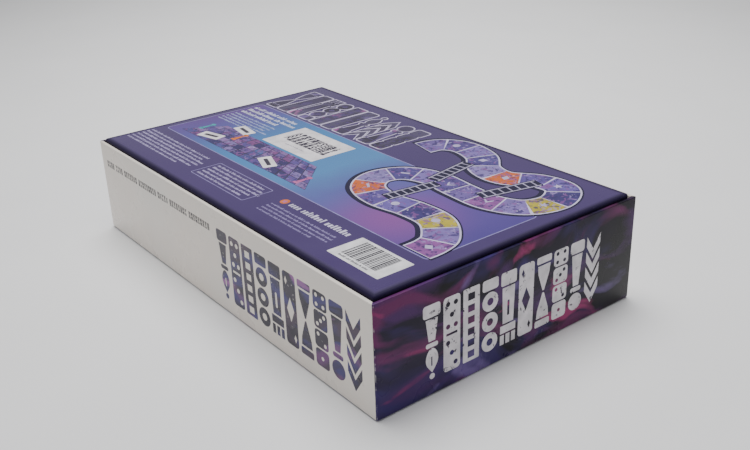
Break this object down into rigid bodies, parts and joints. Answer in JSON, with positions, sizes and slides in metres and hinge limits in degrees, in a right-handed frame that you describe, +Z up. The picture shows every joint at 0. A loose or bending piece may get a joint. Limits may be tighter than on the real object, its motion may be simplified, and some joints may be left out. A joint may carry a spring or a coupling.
{
  "type": "board game box",
  "caption": "Shallow rectangular board game box with a telescoping lid and tray, lying face down, with folding board, cards, die, pawns and leaflet in a card insert.",
  "frame": {"origin": "under the middle of the lid's face, on the surface that the upturned box lies on", "axes": "+X along the box towards its dark printed end, +Y away from the pale long side, +Z up, out of the tray's upturned underside"},
  "size_m": [0.268, 0.165, 0.0584],
  "materials": {
    "greyboard": "matte",
    "pale_wrap": "satin",
    "purple_wrap": "satin",
    "stay_paper": "matte",
    "insert_card": "matte",
    "partition_card": "matte",
    "board_leaf": "satin",
    "book_cloth": "matte",
    "leaflet_paper": "satin",
    "card_stock": "satin",
    "band_paper": "matte",
    "die_plastic": "gloss",
    "orange_lacquer": "gloss",
    "teal_lacquer": "gloss"
  },
  "bodies": {
    "lid": {"lid_greyboard": "greyboard", "lid_wrap": "pale_wrap", "lid_corner_stays": "stay_paper"},
    "tray": {"tray_greyboard": "greyboard", "tray_wrap": "purple_wrap", "tray_corner_stays": "stay_paper"},
    "insert": {"insert_cradle": "insert_card", "insert_long_partition": "partition_card", "insert_cross_partition": "partition_card"},
    "deck_a": {"play_cards_a": "card_stock", "card_band_a": "band_paper"},
    "deck_b": {"play_cards_b": "card_stock", "card_band_b": "band_paper"},
    "die": {"die": "die_plastic"},
    "pawn_a": {"pawn_a": "orange_lacquer"},
    "pawn_b": {"pawn_b": "teal_lacquer"},
    "leaflet": {"rules_leaflet": "leaflet_paper"},
    "board": {"board_upper_leaf": "board_leaf", "board_fold": "book_cloth"},
    "board_flap": {"board_lower_leaf": "board_leaf"}
  },
  "joints": [
    {"name": "tray_lift", "type": "slide", "parent": "lid", "child": "tray", "axis": [0, 0, 1], "range_m": [0, 0.4]},
    {"name": "insert_lift", "type": "slide", "parent": "lid", "child": "insert", "axis": [0, 0, 1], "range_m": [0, 0.4]},
    {"name": "deck_a_lift", "type": "slide", "parent": "lid", "child": "deck_a", "axis": [0, 0, 1], "range_m": [0, 0.4]},
    {"name": "deck_b_lift", "type": "slide", "parent": "lid", "child": "deck_b", "axis": [0, 0, 1], "range_m": [0, 0.4]},
    {"name": "die_lift", "type": "slide", "parent": "lid", "child": "die", "axis": [0, 0, 1], "range_m": [0, 0.4]},
    {"name": "pawn_a_lift", "type": "slide", "parent": "lid", "child": "pawn_a", "axis": [0, 0, 1], "range_m": [0, 0.4]},
    {"name": "pawn_b_lift", "type": "slide", "parent": "lid", "child": "pawn_b", "axis": [0, 0, 1], "range_m": [0, 0.4]},
    {"name": "leaflet_lift", "type": "slide", "parent": "lid", "child": "leaflet", "axis": [0, 0, 1], "range_m": [0, 0.4]},
    {"name": "board_lift", "type": "slide", "parent": "lid", "child": "board", "axis": [0, 0, 1], "range_m": [0, 0.4]},
    {"name": "board_unfold", "type": "hinge", "parent": "board", "child": "board_flap", "pos_m": [0, -0.0746, 0.0037], "axis": [-1, 0, 0], "range_deg": [0, 180]}
  ],
  "couplings": [
    {"joint": "insert_lift", "follows": "tray_lift", "ratio": 0.85},
    {"joint": "deck_a_lift", "follows": "tray_lift", "ratio": 0.79},
    {"joint": "deck_b_lift", "follows": "tray_lift", "ratio": 0.79},
    {"joint": "die_lift", "follows": "tray_lift", "ratio": 0.79},
    {"joint": "pawn_a_lift", "follows": "tray_lift", "ratio": 0.79},
    {"joint": "pawn_b_lift", "follows": "tray_lift", "ratio": 0.79},
    {"joint": "leaflet_lift", "follows": "tray_lift", "ratio": 0.75},
    {"joint": "board_lift", "follows": "tray_lift", "ratio": 0.71},
    {"joint": "board_unfold", "follows": "tray_lift", "rad_per_m": 3.927}
  ]
}
